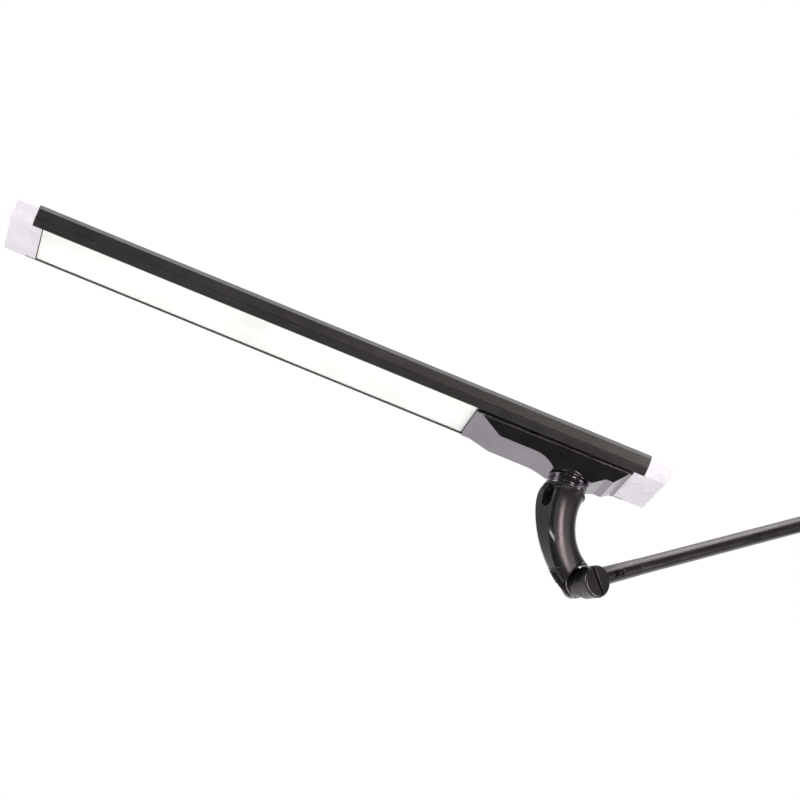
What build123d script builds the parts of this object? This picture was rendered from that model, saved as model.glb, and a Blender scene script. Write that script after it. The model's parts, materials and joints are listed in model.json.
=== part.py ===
from build123d import *

import os
from math import asin, cos, degrees, radians, sin

os.makedirs("parts", exist_ok=True)

# Picture light on an adjustable arm, in millimetres and degrees.
# Row frame: origin at the centre of the wall plate's back face, +X into the wall, +Z up.
# The head runs along X and shines down; the arm's plane is turned by arm_yaw about Z.

# ------------------------------------------------------------------ driving dimensions
# Whole lamp
arm_yaw = 28.0  # arm's vertical plane, turned from +X
rod_rise = 38.2  # rod above the horizontal
pivot_spacing = 255.0  # knuckle axis to wall tilt axis
pan_axis_x = -30.0
tilt_axis_z = 34.0  # wall tilt axis above the plate's centre

# Head: x is counted from the swivel axis, z from the lips' lower face
head_left = -366.75
head_right = 53.25
cap_length = 14.3
cap_tongue = 6.1
lip_outer = 23.7  # half width of the underside
lip_inner = 22.7
belt_half = 27.2  # half width at the parting line
belt_z = 3.6
shoulder_half = 28.6
shoulder_z = 9.3
crown_z = 15.2
web_z = 7.2
web_top_z = 9.0
diffuser_z = 1.0
diffuser_thickness = 1.4
port_y = 18.0
port_z = 10.6
led_count = 34

# Mount housing under the head's neck end
housing_left = -68.2
housing_right = 32.1
flat_z = -7.65
left_flat_start = -49.65
left_flat_end = -26.25
right_flat_start = 19.45
right_flat_end = 24.35
root_radius = 12.6
root_z = -11.64
housing_half = 21.9  # half width where it meets the lips
side_slope = 0.975  # how fast the housing narrows with depth
housing_top_z = -0.6

# Swivel and collar
spindle_radius = 4.0
barrel_radius = 7.4  # the stack of rings seen through the neck's window
barrel_waist = 5.6
barrel_steps = (-22.4, -28.2, -33.5)  # flange, lock nut and clamp nut
collar_radius = 12.4
collar_top_z = -12.0
collar_bottom_z = -18.9
neck_top_z = -20.4  # Neck: a tube round an arc in the arm's plane, x from the swivel axis
bend_x = 38.6
bend_z = -23.5
bend_radius = 40.5
clamp_angle = 83.4  # clamp axis on the bend, below the horizontal through its centre
neck_top_x = -0.4
neck_top_radius = 12.9
neck_radii = {5.0: 13.2, 20.0: 12.3, 35.0: 11.4, 50.0: 10.8, 65.0: 10.7, 95.0: 10.7}
cover_x = 38.6  # centre of the crescent cover's face
cover_radius = 50.9
cover_thickness = 1.8
cover_end_angle = 56.0
cover_gap = 0.25
window_y = -1.9
window_z = -28.0
window_width = 9.6
window_height = 14.0
slot_start_angle = 57.5
slot_end_angle = 73.0
slot_half = 3.4
lead_end_angle = 56.0

# Knuckles: y is across the arm, the knob is on the -y side
ear_inner = 4.4
ear_outer = 8.4
ear_radius = 8.8
lug_half = 3.8
lug_radius = 8.5
scoop_radius = 10.6
scoop_x = 27.8  # second sweep of the scoop, from the swivel axis
scoop_z = -64.9
liner_thickness = 0.8
screw_radius = 2.5
screw_fit = 0.05
knob_radius = 9.8
knob_height = 11.4
coin_slot_width = 1.8
coin_slot_depth = 2.6
knuckle_coin_angle = 40.0
wall_coin_angle = 20.0

# Rod
rod_lift = 0.7  # rod's axis above the clamp axis
rod_radius = 5.15
rod_bore = 4.0
lug_shoulder_x = 11.5
sleeve_start = 14.2
sleeve_end = 47.5
spigot_end = 60.0
end_spigot = 34.0
end_pin_x = 233.0
sleeve_screw_x = 27.5
lead_radius = 1.4
grommet_x = 212.0  # Wall plate
plate_radius = 30.0
plate_thickness = 5.0
plate_hole_spacing = 44.0
plate_hole_radius = 2.25
block_half = 9.0
block_half_height = 8.0
washer_thickness = 0.8


# ------------------------------------------------------------------ frames
along = Vector(cos(radians(arm_yaw)), sin(radians(arm_yaw)), 0)
up = Vector(0, 0, 1)
wall_pivot = Vector(pan_axis_x, 0, tilt_axis_z)
rod_direction = along * cos(radians(rod_rise)) + up * sin(radians(rod_rise))
knuckle = wall_pivot - rod_direction * pivot_spacing
clamp_x = bend_x - bend_radius * cos(radians(clamp_angle))
clamp_z = bend_z - bend_radius * sin(radians(clamp_angle))
swivel = knuckle - along * clamp_x - up * clamp_z

in_head = Location(tuple(swivel))
in_neck = Location(tuple(swivel), (0, 0, arm_yaw))
in_knuckle = Location(tuple(knuckle), (0, 0, arm_yaw))
in_rod = in_knuckle * Location((0, 0, 0), (0, -rod_rise, 0))
in_wall_pivot = Location(tuple(wall_pivot), (0, 0, arm_yaw))
in_pan = Location((pan_axis_x, 0, 0), (0, 0, arm_yaw))


# ------------------------------------------------------------------ shape helpers
def block(x0, x1, y0, y1, z0, z1):
    size = (x1 - x0, y1 - y0, z1 - z0)
    return Pos((x0 + x1) / 2, (y0 + y1) / 2, (z0 + z1) / 2) * Box(*size)


def bar_x(radius, x0, x1, y=0.0, z=0.0):
    return Pos((x0 + x1) / 2, y, z) * Rot(0, 90, 0) * Cylinder(radius, x1 - x0)


def bar_y(radius, y0, y1, x=0.0, z=0.0):
    return Pos(x, (y0 + y1) / 2, z) * Rot(90, 0, 0) * Cylinder(radius, y1 - y0)


def bar_z(radius, z0, z1, x=0.0, y=0.0):
    return Pos(x, y, (z0 + z1) / 2) * Cylinder(radius, z1 - z0)


def ring_z(inner, outer, z0, z1, x=0.0, y=0.0):
    return bar_z(outer, z0, z1, x, y) - bar_z(inner, z0 - 1, z1 + 1, x, y)


def ring_y(inner, outer, y0, y1, x=0.0, z=0.0):
    return bar_y(outer, y0, y1, x, z) - bar_y(inner, y0 - 1, y1 + 1, x, z)


def prism_y(points, y0, y1):
    outline = Polyline(*[(x, y0, z) for x, z in points], close=True)
    return extrude(make_face(outline), amount=y1 - y0, dir=(0, 1, 0))


def prism_x(points, x0, x1):
    outline = Polyline(*[(x0, y, z) for y, z in points], close=True)
    return extrude(make_face(outline), amount=x1 - x0, dir=(1, 0, 0))


def both_sides(half):
    return half + [(-y, z) for y, z in reversed(half)]


def hexagon(across_flats, z0, z1, bore):
    face = RegularPolygon(across_flats / 2, 6, major_radius=False)
    return Pos(0, 0, z0) * extrude(face, amount=z1 - z0) - bar_z(bore, z0 - 1, z1 + 1)


# ------------------------------------------------------------------ head
def crowned_section(x0, x1, side, shoulder, top_z):
    """Solid bar whose half section is side, then shoulder, under a gently arched top."""
    outline = [
        Polyline(*[(x0, y, z) for y, z in side + shoulder]),
        ThreePointArc((x0, *shoulder[-1]), (x0, 0, top_z), (x0, -shoulder[-1][0], shoulder[-1][1])),
        Polyline(*[(x0, -y, z) for y, z in reversed(side + shoulder)]),
        Line((x0, -side[0][0], side[0][1]), (x0, *side[0])),
    ]
    return extrude(make_face(outline), amount=x1 - x0, dir=(1, 0, 0))


body_left = head_left + cap_length
body_right = head_right - cap_length
shoulder_line = [(26.9, 12.3), (22.6, 14.1)]
full_side = [(lip_outer, 0.0), (belt_half, belt_z), (shoulder_half, shoulder_z)]


def head_cover():
    outer_side = [(27.3, belt_z + 0.3), (shoulder_half, shoulder_z)]
    inner_side = [(25.85, belt_z), (25.85, 10.5)]
    shell = crowned_section(body_left, body_right, outer_side, shoulder_line, crown_z)
    hollow = crowned_section(
        body_left - 1, body_right + 1, inner_side, [(25.2, 11.3), (21.6, 12.7)], crown_z - 1.6
    )
    return shell - hollow


def head_tray():
    half = [
        (lip_inner, 0.0),
        (lip_outer, 0.0),
        (belt_half, belt_z),
        (25.7, belt_z),
        (25.7, 9.9),
        (24.1, 9.9),
        (24.1, web_top_z),
    ]
    inside = [(23.3, web_z), (23.3, diffuser_z), (lip_inner, diffuser_z)]
    outline = both_sides(half) + [(-y, z) for y, z in reversed(inside)] + inside
    tray = prism_x(outline, body_left, body_right)
    for side in (-1, 1):
        port = bar_x(1.9, body_left, body_right, side * port_y, port_z)
        tray += port - bar_x(1.9, body_left, body_right, side * port_y, -port_z)
    for side in (-1, 1):
        tray -= bar_x(1.1, body_left - 1, body_right + 1, side * port_y, port_z)
    for x, y in pillar_places:
        tray -= bar_z(1.6, web_z - 1, web_top_z + 1, x, y)
    return tray


pillar_places = [(x, y) for x in (-49.0, 20.5) for y in (-9.0, 9.0)]
light_start = head_left + 24.0
light_end = housing_left - 2.2


def led_board():
    return block(light_start, light_end, -15, 15, web_z - 1.0, web_z)


def led_place(index):
    pitch = (light_end - light_start - 12) / (led_count - 1)
    return light_start + 6 + index * pitch


def leds():
    low = web_z - 1.8
    return [
        block(led_place(i) - 1.75, led_place(i) + 1.75, -1.4, 1.4, low, low + 0.8)
        for i in range(led_count)
    ]


def diffuser():
    start = body_left + cap_tongue + 0.5
    top = diffuser_z + diffuser_thickness
    return block(start, housing_left - 0.3, -23.0, 23.0, diffuser_z, top)


def left_cap():
    """End cap with its outer face at x = 0 and its tongue towards +X."""
    cap = crowned_section(0, cap_length - 0.15, full_side, shoulder_line, crown_z)
    outer_rim = cap.faces().sort_by(Axis.X)[0].edges()
    cap = fillet(outer_rim, 1.2)
    cap -= block(3.2, cap_length + 1, -24, 24, 2.6, 12.0)
    cap += block(cap_length - 1, cap_length + cap_tongue, -lip_inner + 0.2, lip_inner - 0.2, 0, 0.95)
    for side in (-1, 1):
        cap -= bar_x(1.35, -1, 4, side * port_y, port_z)
        sink = Pos(0.6, side * port_y, port_z) * Rot(0, 90, 0) * Cone(2.45, 1.25, 1.2)
        cap -= sink
    return cap


def cap_screw():
    """Countersunk screw along +X with its head's face at x = 0.1."""
    head = Pos(0.6, 0, 0) * Rot(0, 90, 0) * Cone(2.3, 1.2, 1.0)
    screw = head + bar_x(1.05, 0.6, cap_length + 8)
    socket = Pos(0, 0, 0) * Rot(0, 90, 0) * extrude(RegularPolygon(0.75, 6), amount=0.8)
    return screw - socket


def end_cap_left():
    return Pos(head_left, 0, 0) * left_cap()


def end_cap_right():
    return Pos(head_right, 0, 0) * mirror(left_cap(), Plane.YZ)


def cap_screws():
    screws = []
    for side in (-1, 1):
        placed = Pos(0, side * port_y, port_z) * cap_screw()
        screws.append(Pos(head_left, 0, 0) * placed)
        screws.append(Pos(head_right, 0, 0) * mirror(placed, Plane.YZ))
    return screws


# ------------------------------------------------------------------ mount housing
def housing_core(inset, top_z):
    """Ramped bar under the head, narrowing downwards, set in by inset all round."""
    ramp_left = [(housing_left + inset, 0), (left_flat_start + inset * 0.3, flat_z + inset)]
    ramp_right = [(right_flat_end - inset * 0.3, flat_z + inset), (housing_right - inset, 0)]
    profile = [(ramp_left[0][0], top_z)] + ramp_left + ramp_right + [(ramp_right[-1][0], top_z)]
    length_wise = prism_y(profile, -housing_half, housing_half)
    half_top = housing_half - inset * 1.4
    half_deep = half_top + side_slope * (flat_z - 6)
    cross = both_sides([(half_top, top_z), (half_top, 0), (half_deep, flat_z - 6)])
    return length_wise & prism_x(cross, housing_left - 5, housing_right + 5)


def housing_root():
    """Flare from the flat down to the collar, inside the narrowing sides."""
    outline = [
        Line((left_flat_end - 2, 0, flat_z + 2), (left_flat_end, 0, flat_z)),
        TangentArc((left_flat_end, 0, flat_z), (-root_radius, 0, root_z), tangent=(1, 0, 0)),
        Line((-root_radius, 0, root_z), (root_radius, 0, root_z)),
        Line((root_radius, 0, root_z), (right_flat_start, 0, flat_z)),
        Line((right_flat_start, 0, flat_z), (right_flat_start, 0, flat_z + 2)),
        Line((right_flat_start, 0, flat_z + 2), (left_flat_end - 2, 0, flat_z + 2)),
    ]
    flare = extrude(make_face(outline), amount=housing_half, dir=(0, 1, 0), both=True)
    cross = both_sides([(housing_half, 0), (housing_half + side_slope * -16, -16)])
    flare &= prism_x(cross, housing_left, housing_right)
    return flare + bar_z(root_radius, root_z, -2)


def mount_housing():
    housing = housing_core(0, 1) + housing_root()
    housing -= block(housing_left - 1, housing_right + 1, -25, 25, housing_top_z, 2)
    rim_half = housing_half - 0.6
    housing += block(housing_left, housing_right, -rim_half, rim_half, housing_top_z - 1, 2.6)
    hollow = housing_core(1.8, 5)
    housing -= hollow
    for x, y in pillar_places:
        housing += bar_z(3.0, flat_z + 1.6, web_z, x, y) - bar_z(1.25, -4, web_z + 1, x, y)
    for x in (-42.0, -16.0):
        housing += block(x - 0.75, x + 0.75, -7, 7, flat_z + 1.5, 1.8)
    housing -= bar_z(6.55, root_z - 1, 0)
    housing -= ring_z(6.5, 8.2, flat_z + 1.8, 1)
    return housing


def housing_screws():
    screws = []
    for x, y in pillar_places:
        head = bar_z(2.6, web_top_z, web_top_z + 1.8, x, y)
        socket = Pos(x, y, web_top_z + 0.8) * extrude(RegularPolygon(1.3, 6), amount=2)
        screws.append(head + bar_z(1.2, -3.5, web_top_z + 0.1, x, y) - socket)
    return screws


def driver_board():
    return block(-44, -14, -12, 12, 1.8, 3.2)


def driver_parts():
    parts = [block(-40, -28.5, -5, 5, -4.4, 1.8)]
    parts += [bar_z(3.0, -5.2, 1.8, -24.5, y) for y in (-4.5, 4.5)]
    parts.append(block(-38, -33, 3, 7, 3.2, 4.4))
    parts.append(block(-40, -36, -8, -5, 3.2, 4.2))
    parts.append(block(-23, -17, -5, 5, 3.2, 5.6))
    return parts


def swivel_bush():
    sleeve = ring_z(spindle_radius + 0.05, 6.5, root_z, flat_z + 1.8)
    return sleeve + ring_z(spindle_radius + 0.05, 8.0, flat_z + 1.8, flat_z + 2.8)


def swivel_washer():
    return ring_z(spindle_radius + 0.05, 7.6, flat_z + 2.8, flat_z + 3.5)


def swivel_nut():
    return hexagon(14.0, flat_z + 3.5, flat_z + 7.6, spindle_radius + 0.02)


def lead_tube(points, radii, radius):
    path = FilletPolyline(*points, radius=radii)
    start = Plane(origin=path @ 0, z_dir=path % 0)
    return sweep(start * Circle(radius), path=path)


def head_lead():
    """From the spindle's mouth, over the nut, to the driver's connector."""
    points = [(0, 0, 1.2), (0, 0, 4.2), (-7, 0, 4.6), (-17.0, 0, 4.6)]
    return lead_tube(points, [1.3, 1.6], 1.0)


def driver_lead():
    """From the driver's far end up to the light board."""
    points = [(-44.0, 0, 2.5), (-58.0, 0, 2.5), (-63.5, 0, 4.6), (-71.5, 0, 4.6)]
    return lead_tube(points, [2.4, 2.4], 1.0)


# ------------------------------------------------------------------ collar and spindle
def root_washer():
    return ring_z(spindle_radius + 0.1, collar_radius - 1.0, collar_top_z, root_z - 0.02)


def swivel_collar():
    collar = ring_z(spindle_radius + 0.1, collar_radius, collar_bottom_z, collar_top_z)
    rims = collar.edges().filter_by(GeomType.CIRCLE).filter_by(lambda e: e.radius > 10)
    collar = fillet(rims, 0.6)
    for z in (-13.6, -17.4):
        collar -= ring_z(collar_radius - 0.35, collar_radius + 1, z - 0.25, z + 0.25)
    return collar


def collar_gasket():
    gasket = ring_z(spindle_radius + 0.1, collar_radius + 0.8, neck_top_z, collar_bottom_z)
    rims = gasket.edges().filter_by(GeomType.CIRCLE).filter_by(lambda e: e.radius > 10)
    return fillet(rims, 0.4)


def swivel_spindle():
    flange_z, waist_end = barrel_steps[0], barrel_steps[-1]
    spindle = bar_z(spindle_radius, flange_z, 0.6)
    spindle += bar_z(barrel_radius, flange_z, neck_top_z)
    spindle += bar_z(barrel_waist, waist_end, flange_z)
    return spindle - bar_z(lead_radius + 0.2, -50, 2)


def barrel_ring(top_z, bottom_z, edge):
    """Round nut on the spindle's waist."""
    ring = ring_z(barrel_waist + 0.02, barrel_radius, bottom_z, top_z)
    rims = ring.edges().filter_by(GeomType.CIRCLE).filter_by(lambda e: e.radius > barrel_waist + 1)
    return chamfer(rims, edge)


def swivel_locknut():
    nut = barrel_ring(barrel_steps[0], barrel_steps[1], 0.3)
    for i in range(30):
        turn = radians(12 * i)
        nut -= bar_z(0.3, -30, -20, (barrel_radius + 0.1) * cos(turn), (barrel_radius + 0.1) * sin(turn))
    return nut


def lead_clamp_nut():
    return barrel_ring(barrel_steps[1], barrel_steps[2], 0.6)


# ------------------------------------------------------------------ neck
def bend_point(angle, radius=bend_radius):
    turn = radians(angle)
    return Vector(bend_x - radius * cos(turn), 0, bend_z - radius * sin(turn))


def wedge(start_angle, end_angle, half_width):
    """Fan between two angles of the bend, seen from the arc's centre, across y."""
    reach = 90.0
    middle = (start_angle + end_angle) / 2
    tips = [bend_point(a, reach) for a in (start_angle, middle, end_angle)]
    points = [(bend_x, bend_z)] + [(tip.X, tip.Z) for tip in tips]
    return prism_y(points, -half_width, half_width)


def neck_form():
    """Tapered tube along the bend, from the gasket to the clamp axis."""
    top = Plane(origin=(neck_top_x, 0, neck_top_z), z_dir=(0, 0, -1), x_dir=(0, 1, 0))
    sections = [top * Circle(neck_top_radius)]
    for angle, radius in neck_radii.items():
        turn = radians(angle)
        tangent = (sin(turn), 0, -cos(turn))
        section_plane = Plane(origin=bend_point(angle), z_dir=tangent, x_dir=(0, 1, 0))
        sections.append(section_plane * Circle(radius))
    return loft(sections) & wedge(-40, clamp_angle, 30)


def cover_band(inner, outer, end_angle):
    band = ring_y(inner, outer, -20, 20, cover_x, bend_z)
    return band & wedge(-30, end_angle, 20)


def window(grow):
    """Round-ended opening in the back of the neck, running along x."""
    width = window_width + 2 * grow
    height = window_height + 2 * grow
    face = Plane(origin=(-20, window_y, window_z), z_dir=(1, 0, 0), x_dir=(0, 0, 1)) * SlotOverall(
        height, width
    )
    return extrude(face, amount=20.5)


def channel(start_angle, end_angle, inner, outer, half_width):
    band = ring_y(inner, outer, -half_width, half_width, bend_x, bend_z)
    return band & wedge(start_angle, end_angle, half_width)


def neck_body():
    body = neck_form()
    seat = cover_radius - cover_thickness - cover_gap
    body -= cover_band(seat, cover_radius + 20, cover_end_angle + 0.4)
    body -= window(0)
    body -= bar_z(barrel_radius + 0.05, -34, neck_top_z + 1)
    body -= channel(12, slot_end_angle, bend_radius - 4.5, bend_radius + 4.5, slot_half)
    body -= channel(slot_start_angle, slot_end_angle, bend_radius, bend_radius + 20, slot_half)
    body -= bar_y(scoop_radius, -20, ear_inner, clamp_x, clamp_z)
    body -= bar_y(scoop_radius, -20, ear_inner, scoop_x, scoop_z)
    body += bar_y(ear_radius, ear_inner, ear_outer, clamp_x, clamp_z)
    body -= bar_y(13.0, ear_outer, 20, clamp_x, clamp_z)
    body -= bar_y(screw_radius + screw_fit, 0, 20, clamp_x, clamp_z)
    return body.solids().sort_by(SortBy.VOLUME)[-1]


def neck_cover():
    cover = neck_form() & cover_band(cover_radius - cover_thickness, cover_radius, cover_end_angle)
    return cover - window(0) & block(-30, 40, -20, 20, -90, neck_top_z - 0.2)


def knuckle_liner():
    inner = scoop_radius - liner_thickness
    shell = ring_y(inner, scoop_radius, -11, ear_inner - 0.1, scoop_x, scoop_z)
    shell -= bar_y(scoop_radius, -12, ear_inner, clamp_x, clamp_z)
    inner_form = neck_form() - channel(
        2, slot_end_angle, bend_radius - 4.5, bend_radius + 20, slot_half
    )
    return shell & inner_form


def neck_grommet():
    outer = channel(
        slot_start_angle + 0.2, slot_end_angle - 0.2, 48.4, 51.6, slot_half - 0.1
    )
    inner = channel(slot_start_angle + 1.4, slot_end_angle - 1.4, 44, 60, slot_half - 1.1)
    grommet = outer - inner - bar_y(scoop_radius + 0.3, -9, 9, clamp_x, clamp_z)
    return grommet - bar_y(scoop_radius + 0.3, -9, 9, scoop_x, scoop_z)


def neck_lead():
    """Down the hollow spindle, then round inside the neck to its wire slot."""
    straight_end = (0, 0, -35.0)
    end = bend_point(lead_end_angle)
    path = Line((0, 0, 1.0), straight_end) + TangentArc(straight_end, end, tangent=(0, 0, -1))
    start = Plane(origin=path @ 0, z_dir=path % 0)
    return sweep(start * Circle(lead_radius), path=path)


# ------------------------------------------------------------------ knuckle hardware
def clamp_screw(coin_angle):
    """Round knob with a coin slot, on a threaded shank along +y."""
    knob = bar_y(knob_radius, -ear_inner - knob_height, -ear_inner)
    rims = knob.edges().filter_by(GeomType.CIRCLE).sort_by(Axis.Y)
    knob = fillet(rims[:1], 1.4)
    knob = chamfer(knob.edges().filter_by(GeomType.CIRCLE).sort_by(Axis.Y)[-1:], 0.5)
    face_y = -ear_inner - knob_height
    half = coin_slot_width / 2
    slot = block(-20, 20, face_y - 1, face_y + coin_slot_depth, -half, half)
    knob -= Rot(0, coin_angle, 0) * slot
    knob -= ring_y(knob_radius - 0.5, knob_radius + 1, -ear_inner - 2.4, -ear_inner - 1.8)
    return knob + bar_y(screw_radius, -ear_inner - 0.5, ear_outer + 4.8)


def clamp_washers():
    slack = 0.02
    gaps = ((lug_half + slack, ear_inner - slack), (slack - ear_inner, -lug_half - slack))
    return [ring_y(screw_radius + screw_fit, 8.2, low, high) for low, high in gaps]


def clamp_nut():
    nut = Rot(-90, 0, 0) * hexagon(8.0, ear_outer, ear_outer + 4.0, screw_radius + screw_fit)
    return nut


# ------------------------------------------------------------------ rod
def lug(spigot):
    """Eye round the clamp axis with a shoulder and a hollow spigot along +x."""
    body = bar_y(lug_radius, -lug_half, lug_half)
    body = chamfer(body.edges().filter_by(GeomType.CIRCLE), 0.5)
    body += bar_x(lug_half, 2, sleeve_start, 0, rod_lift)
    shoulder = bar_x(rod_radius + 0.4, lug_shoulder_x, sleeve_start - 0.1, 0, rod_lift)
    body += shoulder + bar_x(rod_bore - 0.03, lug_shoulder_x, spigot, 0, rod_lift)
    body -= bar_x(lead_radius + 0.2, 9.5, spigot + 1, 0, rod_lift)
    body -= bar_z(lead_radius + 0.2, rod_lift, 12, 9.5)
    return body - bar_y(screw_radius + screw_fit, -10, 10)


def rod_lug():
    return lug(spigot_end) - bar_y(1.55, -6, -2.0, sleeve_screw_x, rod_lift)


def rod_sleeve():
    length = sleeve_end - sleeve_start
    middle = (sleeve_start + sleeve_end) / 2
    taper = Pos(middle, 0, rod_lift) * Rot(0, 90, 0) * Cone(5.7, 5.3, length)
    sleeve = taper - bar_x(rod_bore, sleeve_start - 1, sleeve_end + 1, 0, rod_lift)
    front = Plane(origin=(sleeve_screw_x, 0, rod_lift), z_dir=(0, -1, 0), x_dir=(1, 0, 0))
    return sleeve - extrude(front * SlotOverall(9.7, 3.8), amount=10)


def sleeve_screw():
    screw = bar_y(1.5, -4.6, -2.1, sleeve_screw_x, rod_lift)
    socket = Plane(origin=(sleeve_screw_x, -5, rod_lift), z_dir=(0, 1, 0))
    return screw - extrude(socket * RegularPolygon(0.8, 6), amount=1.6)


def rod_tube():
    tube = bar_x(rod_radius, sleeve_end + 0.2, pivot_spacing - sleeve_start, 0, rod_lift)
    tube -= bar_x(rod_bore, 0, pivot_spacing, 0, rod_lift)
    tube -= bar_z(2.6, -8, rod_lift, grommet_x)
    return tube - bar_y(1.05, -8, 8, end_pin_x, rod_lift)


def rod_end_lug():
    far_lug = Pos(pivot_spacing, 0, 0) * mirror(lug(end_spigot), Plane.YZ)
    return far_lug - bar_y(1.05, -8, 8, end_pin_x, rod_lift)


def rod_end_pin():
    pin = bar_y(1.0, -5.3, 5.3, end_pin_x, rod_lift)
    return pin - bar_x(lead_radius + 0.2, 200, 250, 0, rod_lift)


def rod_end_grommet():
    x = grommet_x
    flange_z = rod_lift - rod_radius
    body = bar_z(2.55, flange_z - 1.0, flange_z + 1.6, x)
    flange = bar_z(3.6, flange_z - 1.4, flange_z + 0.9, x)
    flange -= bar_x(rod_radius + 0.02, x - 10, x + 10, 0, rod_lift)
    return body + flange - bar_z(1.8, -20, 20, x)


def rod_lead():
    return bar_x(lead_radius, 11.5, pivot_spacing - 11.5, 0, rod_lift)


# ------------------------------------------------------------------ wall mounting
def wall_plate():
    plate = bar_x(plate_radius, -plate_thickness, 0)
    plate = fillet(plate.faces().sort_by(Axis.X)[0].edges(), 2.2)
    stem = block(pan_axis_x, -2, -block_half, block_half, -block_half_height, block_half_height)
    stem += bar_z(block_half, -block_half_height, block_half_height, pan_axis_x)
    stem += bar_x(13.5, -9, -2)
    plate += stem
    plate -= bar_z(spindle_radius + 0.05, -20, 20, pan_axis_x)
    for side in (-1, 1):
        z = side * plate_hole_spacing / 2
        plate -= bar_x(plate_hole_radius, -10, 1, 0, z)
        plate -= Pos(-plate_thickness + 1.2, 0, z) * Rot(0, 90, 0) * Cone(4.6, 2.2, 2.4)
    return plate


def wall_yoke():
    base_z = block_half_height + washer_thickness
    yoke = bar_z(9.0, base_z, base_z + 3.6)
    yoke += block(-3.6, 7.4, ear_inner, ear_outer, base_z, tilt_axis_z)
    yoke += bar_y(ear_radius, ear_inner, ear_outer, 0, tilt_axis_z)
    yoke += bar_z(spindle_radius, -12.5, base_z + 1)
    return yoke - bar_y(screw_radius + screw_fit, 0, 20, 0, tilt_axis_z)


def pan_washers():
    edge = block_half_height
    return [
        ring_z(spindle_radius + 0.05, 8.4, low, low + washer_thickness)
        for low in (edge, -edge - washer_thickness)
    ]


def pan_nut():
    top = -block_half_height - washer_thickness
    return hexagon(13.0, top - 5.0, top, spindle_radius + 0.02)


# ------------------------------------------------------------------ writing the nodes
nodes = {
    "head_cover": in_head * head_cover(),
    "head_tray": in_head * head_tray(),
    "led_board": in_head * led_board(),
    "leds": [in_head * led for led in leds()],
    "diffuser": in_head * diffuser(),
    "end_cap_left": in_head * end_cap_left(),
    "end_cap_right": in_head * end_cap_right(),
    "cap_screws": [in_head * screw for screw in cap_screws()],
    "mount_housing": in_head * mount_housing(),
    "housing_screws": [in_head * screw for screw in housing_screws()],
    "driver_board": in_head * driver_board(),
    "driver_parts": [in_head * part for part in driver_parts()],
    "driver_lead": in_head * driver_lead(),
    "head_lead": in_head * head_lead(),
    "swivel_bush": in_head * swivel_bush(),
    "swivel_washer": in_neck * swivel_washer(),
    "swivel_nut": in_neck * swivel_nut(),
    "root_washer": in_neck * root_washer(),
    "swivel_collar": in_neck * swivel_collar(),
    "collar_gasket": in_neck * collar_gasket(),
    "swivel_spindle": in_neck * swivel_spindle(),
    "swivel_locknut": in_neck * swivel_locknut(),
    "lead_clamp_nut": in_neck * lead_clamp_nut(),
    "neck_body": in_neck * neck_body(),
    "neck_cover": in_neck * neck_cover(),
    "knuckle_liner": in_neck * knuckle_liner(),
    "neck_grommet": in_neck * neck_grommet(),
    "neck_lead": in_neck * neck_lead(),
    "clamp_screw": in_knuckle * clamp_screw(knuckle_coin_angle),
    "clamp_washers": [in_knuckle * washer for washer in clamp_washers()],
    "clamp_nut": in_knuckle * clamp_nut(),
    "rod_lug": in_rod * rod_lug(),
    "rod_sleeve": in_rod * rod_sleeve(),
    "sleeve_screw": in_rod * sleeve_screw(),
    "rod_tube": in_rod * rod_tube(),
    "rod_end_lug": in_rod * rod_end_lug(),
    "rod_end_pin": [in_rod * piece for piece in rod_end_pin().solids()],
    "rod_end_grommet": in_rod * rod_end_grommet(),
    "rod_lead": in_rod * rod_lead(),
    "wall_clamp_screw": in_wall_pivot * clamp_screw(wall_coin_angle),
    "wall_clamp_washers": [in_wall_pivot * washer for washer in clamp_washers()],
    "wall_clamp_nut": in_wall_pivot * clamp_nut(),
    "wall_yoke": in_pan * wall_yoke(),
    "pan_washers": [in_pan * washer for washer in pan_washers()],
    "pan_nut": in_pan * pan_nut(),
    "wall_plate": wall_plate(),
}

for name, shape in nodes.items():
    pieces = shape if isinstance(shape, list) else [shape]
    solids = [solid for piece in pieces for solid in piece.solids()]
    export_step(Compound(children=solids), f"parts/{name}.step")

print("swivel axis", swivel, "knuckle", knuckle, "wall pivot", wall_pivot)
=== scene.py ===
import json
from math import cos, radians, sin

import bpy
from mathutils import Matrix, Vector


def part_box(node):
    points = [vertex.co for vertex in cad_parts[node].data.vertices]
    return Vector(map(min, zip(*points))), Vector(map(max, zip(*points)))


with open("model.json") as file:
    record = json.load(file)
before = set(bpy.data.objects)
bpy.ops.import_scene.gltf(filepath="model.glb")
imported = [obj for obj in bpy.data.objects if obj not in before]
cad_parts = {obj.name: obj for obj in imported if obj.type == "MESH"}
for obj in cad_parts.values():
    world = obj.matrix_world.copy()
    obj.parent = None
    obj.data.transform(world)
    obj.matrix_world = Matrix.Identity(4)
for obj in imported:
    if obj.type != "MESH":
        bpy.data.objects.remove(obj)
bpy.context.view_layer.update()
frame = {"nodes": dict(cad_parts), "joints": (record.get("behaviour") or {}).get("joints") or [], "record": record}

nodes = frame["nodes"]
record = frame["record"]
joints = {joint["name"]: joint for joint in frame["joints"]}

# ------------------------------------------------------------------ places from the frame
swivel = Vector(joints["collar_swivel"]["pos_m"])
head_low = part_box("end_cap_left")[0]


# ------------------------------------------------------------------ camera
SENSOR_MM = 36.0
LENS_MM = 126.0
CAMERA_AZIMUTH = -4.76
CAMERA_ELEVATION = -23.0
CAMERA_ROLL = 20.398
HEAD_IN_CAMERA = Vector((-0.233598, 0.100097, -1.662138))


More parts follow.
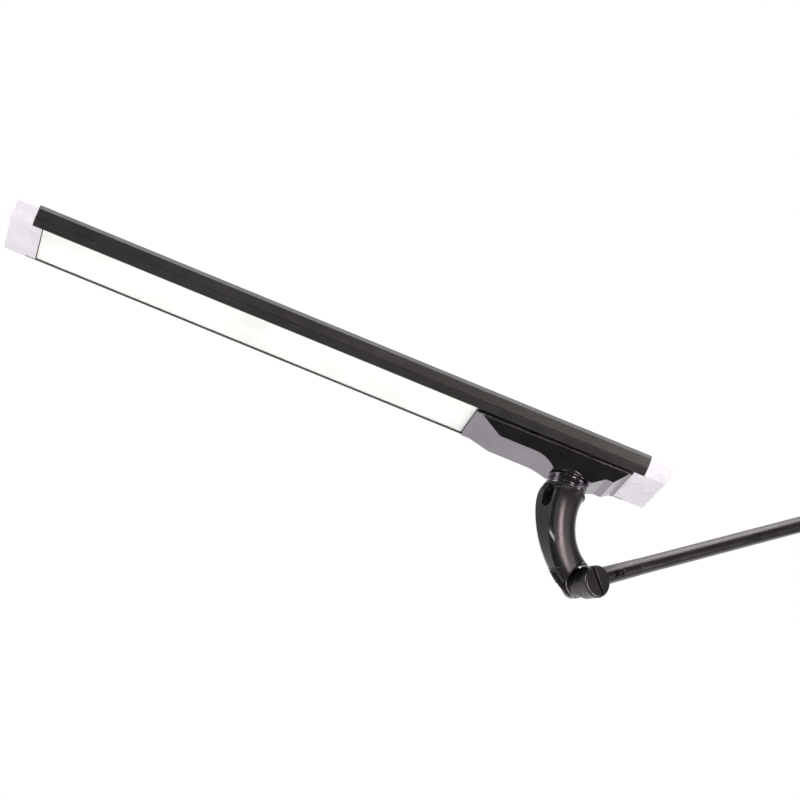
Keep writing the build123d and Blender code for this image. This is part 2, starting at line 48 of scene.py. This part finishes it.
def make_camera():
    """Looks up at the underside of the head from below and in front, rolled a little."""
    turn, lift = radians(CAMERA_AZIMUTH), radians(CAMERA_ELEVATION)
    roll = radians(CAMERA_ROLL)
    forward = Vector((-sin(turn) * cos(lift), cos(turn) * cos(lift), -sin(lift)))
    right = forward.cross(Vector((0, 0, 1))).normalized()
    upward = right.cross(forward)
    rolled_right = right * cos(roll) + upward * sin(roll)
    rolled_up = upward * cos(roll) - right * sin(roll)
    basis = Matrix((rolled_right, rolled_up, -forward)).transposed()
    head_end = Vector((head_low[0], swivel.y, swivel.z))
    data = bpy.data.cameras.new("camera")
    data.sensor_width = SENSOR_MM
    data.lens = LENS_MM
    data.clip_end = 30.0
    camera = bpy.data.objects.new("camera", data)
    camera.matrix_world = Matrix.Translation(head_end - basis @ HEAD_IN_CAMERA) @ basis.to_4x4()
    bpy.context.collection.objects.link(camera)
    bpy.context.scene.camera = camera


make_camera()


# ------------------------------------------------------------------ studio
FLOOR_Z = -1.25
FLOOR_HALF = 6.0
FLOOR_PAINT = (0.80, 0.80, 0.79, 1)


def make_floor():
    """Pale painted floor, kept out of mirror-like surfaces so that their dark side stays dark."""
    turns = ((-1, -1), (1, -1), (1, 1), (-1, 1))
    corners = [(FLOOR_HALF * x, FLOOR_HALF * y, FLOOR_Z) for x, y in turns]
    mesh = bpy.data.meshes.new("floor")
    mesh.from_pydata(corners, [], [(0, 1, 2, 3)])
    floor = bpy.data.objects.new("floor", mesh)
    bpy.context.collection.objects.link(floor)
    material = bpy.data.materials.new("floor_paint")
    material.use_nodes = True
    tree = material.node_tree
    shader = tree.nodes["Principled BSDF"]
    shader.inputs["Base Color"].default_value = FLOOR_PAINT
    mottle = tree.nodes.new("ShaderNodeTexNoise")
    mottle.inputs["Scale"].default_value = 3.0
    mottle.inputs["Detail"].default_value = 6.0
    levels = tree.nodes.new("ShaderNodeMapRange")
    levels.inputs["To Min"].default_value = 0.7
    levels.inputs["To Max"].default_value = 0.9
    tree.links.new(mottle.outputs["Fac"], levels.inputs["Value"])
    tree.links.new(levels.outputs["Result"], shader.inputs["Roughness"])
    mesh.materials.append(material)
    floor.visible_glossy = False


SEEN_BACKGROUND = 1.0
DIFFUSE_LIGHT = 0.72
BRIGHT_SIDE = 1.15  # mirrored light from behind the lamp, where the pale backdrop hangs
DARK_SIDE = 0.05  # mirrored light from the unlit front half of the room
FADE_START = 0.15  # how far behind the lamp, as part of a unit direction, the fade begins
FADE_END = 0.75


def make_world():
    """White to the eye, even to matt surfaces, and bright only behind for mirror-like ones."""
    world = bpy.data.worlds.new("studio")
    bpy.context.scene.world = world
    world.use_nodes = True
    tree = world.node_tree
    tree.nodes.clear()
    link = tree.links.new

    def background(strength):
        made_node = tree.nodes.new("ShaderNodeBackground")
        made_node.inputs["Color"].default_value = (1, 1, 1, 1)
        made_node.inputs["Strength"].default_value = strength
        return made_node

    def mix(factor, first, second):
        made_node = tree.nodes.new("ShaderNodeMixShader")
        link(factor, made_node.inputs["Fac"])
        link(first, made_node.inputs[1])
        link(second, made_node.inputs[2])
        return made_node.outputs["Shader"]

    direction = tree.nodes.new("ShaderNodeTexCoord").outputs["Generated"]
    axes = tree.nodes.new("ShaderNodeSeparateXYZ")
    link(direction, axes.inputs["Vector"])
    ramp = tree.nodes.new("ShaderNodeMapRange")
    ramp.interpolation_type = "SMOOTHSTEP"
    limits = (FADE_START, FADE_END, DARK_SIDE, BRIGHT_SIDE)
    for key, number in zip(("From Min", "From Max", "To Min", "To Max"), limits):
        ramp.inputs[key].default_value = number
    link(axes.outputs["Y"], ramp.inputs["Value"])
    mirrored = background(1.0)
    link(ramp.outputs["Result"], mirrored.inputs["Strength"])
    path = tree.nodes.new("ShaderNodeLightPath")
    lit = mix(path.outputs["Is Glossy Ray"], background(DIFFUSE_LIGHT).outputs[0], mirrored.outputs[0])
    shown = mix(path.outputs["Is Camera Ray"], lit, background(SEEN_BACKGROUND).outputs[0])
    output = tree.nodes.new("ShaderNodeOutputWorld")
    link(shown, output.inputs["Surface"])


def area_light(name, place, target, size_x, size_y, power, colour):
    data = bpy.data.lights.new(name, "AREA")
    data.shape = "RECTANGLE"
    data.size = size_x
    data.size_y = size_y
    data.energy = power
    data.color = colour
    light = bpy.data.objects.new(name, data)
    light.location = place
    light.rotation_euler = (Vector(target) - Vector(place)).to_track_quat("-Z", "Y").to_euler()
    bpy.context.collection.objects.link(light)
    return light


PLAIN_WHITE = (1.0, 1.0, 1.0)
WARM_WHITE = (1.0, 0.92, 0.84)

# name, place, aimed at, width, height, watts, colour
LIGHTS = (
    ("overhead", (-0.4, -0.3, 1.6), (-0.4, 0, 0), 2.0, 1.6, 30, PLAIN_WHITE),
    ("left_card", (-2.0, -0.4, -0.1), (-0.4, 0, -0.05), 0.8, 1.2, 16, PLAIN_WHITE),
    ("right_card", (1.3, -0.8, -0.5), (-0.25, 0, -0.08), 0.7, 0.9, 12, PLAIN_WHITE),
    ("under_front", (-0.9, -1.2, -1.1), (-0.45, -0.1, -0.05), 0.9, 0.12, 3, PLAIN_WHITE),
    ("neck_strip", (0.32, -1.6, -0.7), (-0.23, -0.1, -0.09), 0.34, 1.5, 14, WARM_WHITE),
)

make_floor()
make_world()
bpy.context.scene.view_settings.view_transform = "Standard"
for light_settings in LIGHTS:
    area_light(*light_settings)


# ------------------------------------------------------------------ materials
class Shader:
    """A node material built from small named steps."""

    def __init__(self, name):
        self.material = bpy.data.materials.new(name)
        self.material.use_nodes = True
        self.tree = self.material.node_tree
        self.surface = self.tree.nodes["Principled BSDF"]
        self.place = self.tree.nodes.new("ShaderNodeTexCoord").outputs["Object"]

    def node(self, kind, **settings):
        made_node = self.tree.nodes.new(kind)
        for key, value in settings.items():
            setattr(made_node, key, value)
        return made_node

    def feed(self, socket, value):
        if isinstance(value, bpy.types.NodeSocket):
            self.tree.links.new(value, socket)
        else:
            socket.default_value = value

    def stretched(self, scale, turn_z=0.0, turn_y=0.0):
        mapping = self.node("ShaderNodeMapping")
        self.feed(mapping.inputs["Vector"], self.place)
        mapping.inputs["Rotation"].default_value = (0, turn_y, turn_z)
        mapping.inputs["Scale"].default_value = scale
        return mapping.outputs["Vector"]

    def noise(self, scale, detail=3.0, rough=0.55, vector=None):
        made_node = self.node("ShaderNodeTexNoise")
        self.feed(made_node.inputs["Vector"], vector or self.place)
        made_node.inputs["Scale"].default_value = scale
        made_node.inputs["Detail"].default_value = detail
        made_node.inputs["Roughness"].default_value = rough
        return made_node.outputs["Fac"]

    def spread(self, value, low, high, out_low, out_high):
        made_node = self.node("ShaderNodeMapRange")
        self.feed(made_node.inputs["Value"], value)
        limits = (low, high, out_low, out_high)
        for key, number in zip(("From Min", "From Max", "To Min", "To Max"), limits):
            made_node.inputs[key].default_value = number
        return made_node.outputs["Result"]

    def maths(self, operation, first, second):
        made_node = self.node("ShaderNodeMath", operation=operation)
        self.feed(made_node.inputs[0], first)
        self.feed(made_node.inputs[1], second)
        return made_node.outputs[0]

    def tint(self, factor, first, second):
        made_node = self.node("ShaderNodeMix", data_type="RGBA")
        self.feed(made_node.inputs[0], factor)
        self.feed(made_node.inputs[6], first)
        self.feed(made_node.inputs[7], second)
        return made_node.outputs[2]

    def edge(self, radius):
        """0 on flat faces, rising to 1 on worn edges; also the softened normal."""
        soft = self.node("ShaderNodeBevel", samples=6)
        soft.inputs["Radius"].default_value = radius
        true_normal = self.node("ShaderNodeNewGeometry").outputs["Normal"]
        compare = self.node("ShaderNodeVectorMath", operation="DOT_PRODUCT")
        self.feed(compare.inputs[0], soft.outputs["Normal"])
        self.feed(compare.inputs[1], true_normal)
        return self.spread(compare.outputs["Value"], 0.98, 0.80, 0.0, 1.0), soft.outputs["Normal"]

    def bump(self, height, strength, distance, normal=None):
        made_node = self.node("ShaderNodeBump")
        made_node.inputs["Strength"].default_value = strength
        made_node.inputs["Distance"].default_value = distance
        self.feed(made_node.inputs["Height"], height)
        if normal is not None:
            self.feed(made_node.inputs["Normal"], normal)
        return made_node.outputs["Normal"]


def colour4(rgb, gain=1.0):
    return (min(1.0, rgb[0] * gain), min(1.0, rgb[1] * gain), min(1.0, rgb[2] * gain), 1.0)


def make_look(name, base, metallic, rough, grain, grain_bump, edge_radius, worn, wear, coat=0.0, brush=None,
              scatter=0.0):
    """One finish: drifting tone, grain, smudges in the gloss, softened and worn edges, fine bump."""
    look = Shader(name)
    drift = look.noise(22.0, 4.0)
    fine = look.noise(grain, 4.0, 0.65)
    smudge = look.noise(75.0, 5.0, 0.6, look.stretched((1.0, 1.3, 0.7), 0.6))
    tone = look.tint(look.spread(drift, 0.3, 0.7, 0.0, 1.0), colour4(base, 0.86), colour4(base, 1.14))
    speckle = look.spread(fine, 0.35, 0.7, 0.0, 0.22)
    tone = look.tint(speckle, tone, colour4(base, 1.5 if metallic > 0.5 else 0.82))
    edge_mask, soft_normal = look.edge(edge_radius)
    broken = look.spread(look.noise(420.0, 5.0, 0.7), 0.42, 0.62, 0.0, 1.0)
    worn_mask = look.maths("MULTIPLY", look.maths("MULTIPLY", edge_mask, broken), wear)
    tone = look.tint(worn_mask, tone, colour4(worn))
    gloss = look.spread(smudge, 0.25, 0.75, rough * 0.78, rough * 1.25)
    gloss = look.maths("ADD", gloss, look.spread(fine, 0.3, 0.7, -0.02, 0.03))
    normal = look.bump(fine, grain_bump, 0.0001, soft_normal)
    if brush is not None:
        lines = look.noise(1.0, 3.0, 0.6, look.stretched(*brush))
        gloss = look.maths("ADD", gloss, look.spread(lines, 0.3, 0.7, -0.05, 0.07))
        normal = look.bump(lines, grain_bump * 0.7, 0.00008, normal)
    look.feed(look.surface.inputs["Base Color"], tone)
    look.feed(look.surface.inputs["Roughness"], gloss)
    look.feed(look.surface.inputs["Normal"], normal)
    look.surface.inputs["Metallic"].default_value = metallic
    look.surface.inputs["Coat Weight"].default_value = coat
    look.surface.inputs["Coat Roughness"].default_value = 0.12
    if scatter:
        look.surface.inputs["Subsurface Weight"].default_value = scatter
        look.surface.inputs["Subsurface Radius"].default_value = (1.0, 0.95, 0.9)
        look.surface.inputs["Subsurface Scale"].default_value = 0.003
    return look.material


ALONG_HEAD = ((25.0, 2600.0, 2600.0),)
LOOKS = {
    "gunmetal": dict(base=(0.105, 0.094, 0.102), metallic=0.92, rough=0.30, grain=2600.0, grain_bump=0.25,
                     edge_radius=0.0005, worn=(0.34, 0.31, 0.32), wear=0.5),
    "anodised_grey": dict(base=(0.066, 0.063, 0.064), metallic=0.8, rough=0.36, grain=3200.0,
                          grain_bump=0.22, edge_radius=0.0004, worn=(0.30, 0.30, 0.30), wear=0.35,
                          brush=ALONG_HEAD),
    "housing_metal": dict(base=(0.185, 0.168, 0.19), metallic=1.0, rough=0.20, grain=2400.0,
                          grain_bump=0.12, edge_radius=0.0006, worn=(0.5, 0.48, 0.5), wear=0.3),
    "cap_plastic": dict(base=(0.64, 0.61, 0.67), metallic=0.0, rough=0.26, grain=2200.0, grain_bump=0.12,
                        edge_radius=0.0005, worn=(0.9, 0.88, 0.92), wear=0.2, scatter=0.15),
    "diffuser_plastic": dict(base=(0.90, 0.895, 0.87), metallic=0.0, rough=0.42, grain=3000.0,
                             grain_bump=0.3, edge_radius=0.0003, worn=(0.95, 0.95, 0.93), wear=0.1,
                             scatter=0.3),
    "black_plastic": dict(base=(0.012, 0.012, 0.013), metallic=0.0, rough=0.48, grain=1800.0,
                          grain_bump=0.5, edge_radius=0.0004, worn=(0.05, 0.05, 0.05), wear=0.5),
    "gloss_black": dict(base=(0.010, 0.010, 0.012), metallic=0.0, rough=0.12, grain=1500.0,
                        grain_bump=0.08, edge_radius=0.0003, worn=(0.05, 0.05, 0.055), wear=0.3, coat=0.6),
    "dark_rubber": dict(base=(0.016, 0.016, 0.016), metallic=0.0, rough=0.62, grain=1400.0,
                        grain_bump=0.7, edge_radius=0.0004, worn=(0.06, 0.06, 0.06), wear=0.6),
    "bright_steel": dict(base=(0.80, 0.79, 0.80), metallic=1.0, rough=0.09, grain=2500.0, grain_bump=0.06,
                         edge_radius=0.0003, worn=(0.9, 0.9, 0.9), wear=0.2),
    "zinc_steel": dict(base=(0.60, 0.60, 0.62), metallic=1.0, rough=0.30, grain=1600.0, grain_bump=0.3,
                       edge_radius=0.0003, worn=(0.8, 0.8, 0.8), wear=0.4),
    "black_steel": dict(base=(0.035, 0.034, 0.038), metallic=0.9, rough=0.34, grain=1900.0, grain_bump=0.4,
                        edge_radius=0.0002, worn=(0.3, 0.3, 0.31), wear=0.4),
    "board": dict(base=(0.82, 0.82, 0.80), metallic=0.0, rough=0.3, grain=1500.0, grain_bump=0.15,
                  edge_radius=0.0001, worn=(0.6, 0.55, 0.4), wear=0.3),
    "driver_green": dict(base=(0.02, 0.13, 0.06), metallic=0.0, rough=0.3, grain=1200.0, grain_bump=0.3,
                         edge_radius=0.0001, worn=(0.3, 0.3, 0.15), wear=0.4, coat=0.4),
    "part_black": dict(base=(0.022, 0.022, 0.022), metallic=0.0, rough=0.42, grain=1800.0, grain_bump=0.5,
                       edge_radius=0.0002, worn=(0.07, 0.07, 0.07), wear=0.4),
    "led_phosphor": dict(base=(0.90, 0.62, 0.12), metallic=0.0, rough=0.4, grain=2500.0, grain_bump=0.3,
                         edge_radius=0.0001, worn=(0.95, 0.9, 0.8), wear=0.2, scatter=0.2),
    "bush_nylon": dict(base=(0.70, 0.69, 0.64), metallic=0.0, rough=0.42, grain=1500.0, grain_bump=0.3,
                       edge_radius=0.0002, worn=(0.8, 0.79, 0.75), wear=0.3, scatter=0.2),
    "lead_jacket": dict(base=(0.02, 0.02, 0.02), metallic=0.0, rough=0.5, grain=1500.0, grain_bump=0.5,
                        edge_radius=0.0002, worn=(0.06, 0.06, 0.06), wear=0.3),
}
made = {slot: make_look(slot, **look) for slot, look in LOOKS.items()}
for part in record["subparts"]:
    target = nodes[part["node"]]
    target.data.materials.clear()
    target.data.materials.append(made[part["material_slot"]])
